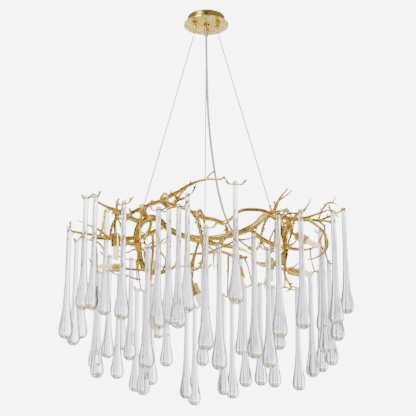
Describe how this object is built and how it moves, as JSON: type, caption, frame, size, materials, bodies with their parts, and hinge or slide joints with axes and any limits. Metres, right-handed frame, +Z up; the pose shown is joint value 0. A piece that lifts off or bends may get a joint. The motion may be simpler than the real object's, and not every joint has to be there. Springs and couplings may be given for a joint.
{
  "type": "branch chandelier",
  "caption": "Brass twig-wreath chandelier with clear glass drops hung from its twig ends, small capsule lamps, and a round ceiling canopy with gripped steel cables and a clear cord.",
  "frame": {"origin": "on the ceiling plane, in the middle of the canopy's bracket", "axes": "+Z up, out of the ceiling face; -Y towards the viewer of the picture; +X to the viewer's right"},
  "size_m": [0.7571, 0.7365, 1.043],
  "materials": {
    "brass": "polished cast brass",
    "canopy_gold": "pale gold, satin",
    "zinc_steel": "zinc plated",
    "dark_screw": "black oxide",
    "terminal_plastic": "moulded",
    "steel_cable": "stranded",
    "clear_cord": "clear sheath over silver cores",
    "ceramic": "white ceramic",
    "bulb_glass": "clear capsule",
    "drop_glass": "clear polished"
  },
  "bodies": {
    "canopy": {"ceiling_bracket": "zinc_steel", "bracket_screws": "dark_screw", "canopy_pan": "canopy_gold", "canopy_plate": "canopy_gold", "terminal_block": "terminal_plastic", "gripper_barrels": "canopy_gold", "cord_grip": "canopy_gold", "suspension_cables": "steel_cable", "power_cord": "clear_cord"},
    "plunger_left": {"gripper_plunger_left": "canopy_gold"},
    "plunger_right": {"gripper_plunger_right": "canopy_gold"},
    "plunger_back": {"gripper_plunger_back": "canopy_gold"},
    "branches": {"main_branch_right": "brass", "main_branch_left": "brass", "front_branch": "brass", "branch_front_left": "brass", "branch_left": "brass", "branch_back_left": "brass", "branch_back": "brass", "branch_back_right": "brass", "branch_right": "brass", "branch_front_right": "brass", "cable_anchors": "brass", "cord_inlet": "brass", "lamp_cups": "brass", "lamp_sockets": "ceramic", "bulbs": "bulb_glass"},
    "drop_front_left_high": {"drop_front_left_high": "drop_glass"},
    "drop_front_left_mid": {"drop_front_left_mid": "drop_glass"},
    "drop_front_pair_outer": {"drop_front_pair_outer": "drop_glass"},
    "drop_front_pair_inner": {"drop_front_pair_inner": "drop_glass"},
    "drop_front_high": {"drop_front_high": "drop_glass"},
    "drop_front_left_low": {"drop_front_left_low": "drop_glass"},
    "drop_front_mid": {"drop_front_mid": "drop_glass"},
    "drop_front_pair_low": {"drop_front_pair_low": "drop_glass"},
    "drop_left_outer": {"drop_left_outer": "drop_glass"},
    "drop_left_inner": {"drop_left_inner": "drop_glass"},
    "drop_left_pair": {"drop_left_pair": "drop_glass"},
    "drop_left_low": {"drop_left_low": "drop_glass"},
    "drop_left_pair_low": {"drop_left_pair_low": "drop_glass"},
    "drop_back_left_pair": {"drop_back_left_pair": "drop_glass"},
    "drop_back_left_pair_low": {"drop_back_left_pair_low": "drop_glass"},
    "drop_back_left_outer": {"drop_back_left_outer": "drop_glass"},
    "drop_back_left_low": {"drop_back_left_low": "drop_glass"},
    "drop_back_left_high": {"drop_back_left_high": "drop_glass"},
    "drop_back_pair_inner": {"drop_back_pair_inner": "drop_glass"},
    "drop_back_pair_low": {"drop_back_pair_low": "drop_glass"},
    "drop_back_right_pair": {"drop_back_right_pair": "drop_glass"},
    "drop_back_high": {"drop_back_high": "drop_glass"},
    "drop_back_right_inner": {"drop_back_right_inner": "drop_glass"},
    "drop_right_back_pair_low": {"drop_right_back_pair_low": "drop_glass"},
    "drop_right_back_mid": {"drop_right_back_mid": "drop_glass"},
    "drop_right_back_pair": {"drop_right_back_pair": "drop_glass"},
    "drop_right_back_high": {"drop_right_back_high": "drop_glass"},
    "drop_right_pair": {"drop_right_pair": "drop_glass"},
    "drop_right_mid": {"drop_right_mid": "drop_glass"},
    "drop_right_outer": {"drop_right_outer": "drop_glass"},
    "drop_right_front": {"drop_right_front": "drop_glass"},
    "drop_front_right_pair": {"drop_front_right_pair": "drop_glass"},
    "drop_front_right_low": {"drop_front_right_low": "drop_glass"}
  },
  "joints": [
    {"name": "hang_height", "type": "slide", "parent": "canopy", "child": "branches", "axis": [0, 0, 1], "range_m": [0, 0.3], "deforming": ["suspension_cables", "power_cord"]},
    {"name": "plunger_press_left", "type": "slide", "parent": "canopy", "child": "plunger_left", "axis": [0, 0, 1], "range_m": [0, 0.0025], "stiffness_N_per_m": 900},
    {"name": "plunger_press_right", "type": "slide", "parent": "canopy", "child": "plunger_right", "axis": [0, 0, 1], "range_m": [0, 0.0025], "stiffness_N_per_m": 900},
    {"name": "plunger_press_back", "type": "slide", "parent": "canopy", "child": "plunger_back", "axis": [0, 0, 1], "range_m": [0, 0.0025], "stiffness_N_per_m": 900},
    {"name": "drop_front_left_high_swing", "type": "hinge", "parent": "branches", "child": "drop_front_left_high", "pos_m": [-0.3002, -0.15962, -0.576], "axis": [-0.5298, 0.8316, 0.1663], "range_deg": [-5, 5]},
    {"name": "drop_front_left_mid_swing", "type": "hinge", "parent": "branches", "child": "drop_front_left_mid", "pos_m": [-0.19701, -0.25216, -0.617], "axis": [-0.788, 0.6157, 0], "range_deg": [-5, 5]},
    {"name": "drop_front_pair_outer_swing", "type": "hinge", "parent": "branches", "child": "drop_front_pair_outer", "pos_m": [-0.11069, -0.32148, -0.651], "axis": [-0.8415, 0.5391, 0.0347], "range_deg": [-5, 5]},
    {"name": "drop_front_pair_inner_swing", "type": "hinge", "parent": "branches", "child": "drop_front_pair_inner", "pos_m": [-0.08893, -0.24432, -0.627], "axis": [-0.7516, 0.5369, -0.3831], "range_deg": [-5, 5]},
    {"name": "drop_front_high_swing", "type": "hinge", "parent": "branches", "child": "drop_front_high", "pos_m": [0.06831, -0.35142, -0.598], "axis": [-0.9816, -0.1908, 0], "range_deg": [-5, 5]},
    {"name": "drop_front_left_low_swing", "type": "hinge", "parent": "branches", "child": "drop_front_left_low", "pos_m": [-0.13524, -0.29002, -0.735], "axis": [-0.9063, 0.4226, 0], "range_deg": [-5, 5]},
    {"name": "drop_front_mid_swing", "type": "hinge", "parent": "branches", "child": "drop_front_mid", "pos_m": [0, -0.36, -0.705], "axis": [-1, 0, 0], "range_deg": [-5, 5]},
    {"name": "drop_front_pair_low_swing", "type": "hinge", "parent": "branches", "child": "drop_front_pair_low", "pos_m": [0.03067, -0.31853, -0.742], "axis": [-0.9539, 0.0352, -0.298], "range_deg": [-5, 5]},
    {"name": "drop_left_outer_swing", "type": "hinge", "parent": "branches", "child": "drop_left_outer", "pos_m": [-0.34931, -0.08709, -0.635], "axis": [-0.2419, 0.9703, 0], "range_deg": [-5, 5]},
    {"name": "drop_left_inner_swing", "type": "hinge", "parent": "branches", "child": "drop_left_inner", "pos_m": [-0.26737, 0.03758, -0.554], "axis": [0.1392, 0.9903, 0], "range_deg": [-5, 5]},
    {"name": "drop_left_pair_swing", "type": "hinge", "parent": "branches", "child": "drop_left_pair", "pos_m": [-0.35018, 0.07443, -0.627], "axis": [0.1567, 0.9071, 0.3908], "range_deg": [-2, 5]},
    {"name": "drop_left_low_swing", "type": "hinge", "parent": "branches", "child": "drop_left_low", "pos_m": [-0.28689, 0.08771, -0.711], "axis": [0.2924, 0.9563, 0], "range_deg": [-5, 5]},
    {"name": "drop_left_pair_low_swing", "type": "hinge", "parent": "branches", "child": "drop_left_pair_low", "pos_m": [-0.2998, 0.14948, -0.68], "axis": [0.9191, -0.0006, -0.394], "range_deg": [-2.5, 1.5]},
    {"name": "drop_back_left_pair_swing", "type": "hinge", "parent": "branches", "child": "drop_back_left_pair", "pos_m": [-0.26837, 0.17428, -0.647], "axis": [0.9692, 0.2375, -0.0659], "range_deg": [-1.5, 1.5]},
    {"name": "drop_back_left_pair_low_swing", "type": "hinge", "parent": "branches", "child": "drop_back_left_pair_low", "pos_m": [-0.19483, 0.22812, -0.732], "axis": [-0.3846, 0.8941, 0.2296], "range_deg": [-3, 2]},
    {"name": "drop_back_left_outer_swing", "type": "hinge", "parent": "branches", "child": "drop_back_left_outer", "pos_m": [-0.23746, 0.24334, -0.615], "axis": [0.7157, 0.6984, 0], "range_deg": [-4, 5]},
    {"name": "drop_back_left_low_swing", "type": "hinge", "parent": "branches", "child": "drop_back_left_low", "pos_m": [-0.15328, 0.26021, -0.71], "axis": [0.8616, 0.5075, 0], "range_deg": [-4, 5]},
    {"name": "drop_back_left_high_swing", "type": "hinge", "parent": "branches", "child": "drop_back_left_high", "pos_m": [-0.13829, 0.31061, -0.572], "axis": [0.9135, 0.4067, 0], "range_deg": [-5, 5]},
    {"name": "drop_back_pair_inner_swing", "type": "hinge", "parent": "branches", "child": "drop_back_pair_inner", "pos_m": [-0.11073, 0.23745, -0.662], "axis": [0.9202, 0.3863, 0.0638], "range_deg": [-5, 3]},
    {"name": "drop_back_pair_low_swing", "type": "hinge", "parent": "branches", "child": "drop_back_pair_low", "pos_m": [-0.05622, 0.27634, -0.746], "axis": [0.4398, 0.8556, -0.2729], "range_deg": [-5, 5]},
    {"name": "drop_back_right_pair_swing", "type": "hinge", "parent": "branches", "child": "drop_back_right_pair", "pos_m": [0.04862, 0.27575, -0.736], "axis": [0.4223, 0.9041, -0.0647], "range_deg": [-3, 5]},
    {"name": "drop_back_high_swing", "type": "hinge", "parent": "branches", "child": "drop_back_high", "pos_m": [0.09995, 0.30399, -0.621], "axis": [0.95, -0.3123, 0], "range_deg": [-4, 5]},
    {"name": "drop_back_right_inner_swing", "type": "hinge", "parent": "branches", "child": "drop_back_right_inner", "pos_m": [0.1094, 0.25774, -0.716], "axis": [0.6878, -0.7257, -0.0168], "range_deg": [-5, 4]},
    {"name": "drop_right_back_pair_low_swing", "type": "hinge", "parent": "branches", "child": "drop_right_back_pair_low", "pos_m": [0.19063, 0.25951, -0.717], "axis": [0.922, -0.3546, -0.1555], "range_deg": [-4, 5]},
    {"name": "drop_right_back_mid_swing", "type": "hinge", "parent": "branches", "child": "drop_right_back_mid", "pos_m": [0.20268, 0.22118, -0.618], "axis": [0.7373, -0.6756, 0], "range_deg": [-5, 5]},
    {"name": "drop_right_back_pair_swing", "type": "hinge", "parent": "branches", "child": "drop_right_back_pair", "pos_m": [0.28563, 0.14428, -0.702], "axis": [-0.4205, -0.8632, -0.2793], "range_deg": [-5, 3]},
    {"name": "drop_right_back_high_swing", "type": "hinge", "parent": "branches", "child": "drop_right_back_high", "pos_m": [0.31874, 0.16734, -0.576], "axis": [0.4648, -0.8854, 0], "range_deg": [-2.5, 5]},
    {"name": "drop_right_pair_swing", "type": "hinge", "parent": "branches", "child": "drop_right_pair", "pos_m": [0.33609, 0.12901, -0.673], "axis": [-0.3397, -0.8603, 0.3801], "range_deg": [-3, 5]},
    {"name": "drop_right_mid_swing", "type": "hinge", "parent": "branches", "child": "drop_right_mid", "pos_m": [0.33968, 0.01483, -0.625], "axis": [0.0436, -0.999, 0], "range_deg": [-5, 2.5]},
    {"name": "drop_right_outer_swing", "type": "hinge", "parent": "branches", "child": "drop_right_outer", "pos_m": [0.36996, 0.03888, -0.55], "axis": [0.1045, -0.9945, 0], "range_deg": [-1.5, 5]},
    {"name": "drop_right_front_swing", "type": "hinge", "parent": "branches", "child": "drop_right_front", "pos_m": [0.31631, -0.16117, -0.613], "axis": [-0.454, -0.891, 0], "range_deg": [-5, 5]},
    {"name": "drop_front_right_pair_swing", "type": "hinge", "parent": "branches", "child": "drop_front_right_pair", "pos_m": [0.16807, -0.3161, -0.67], "axis": [-0.6774, -0.6477, -0.3487], "range_deg": [-5, 5]},
    {"name": "drop_front_right_low_swing", "type": "hinge", "parent": "branches", "child": "drop_front_right_low", "pos_m": [0.14838, -0.23745, -0.727], "axis": [-0.848, -0.5299, 0], "range_deg": [-5, 5]}
  ]
}
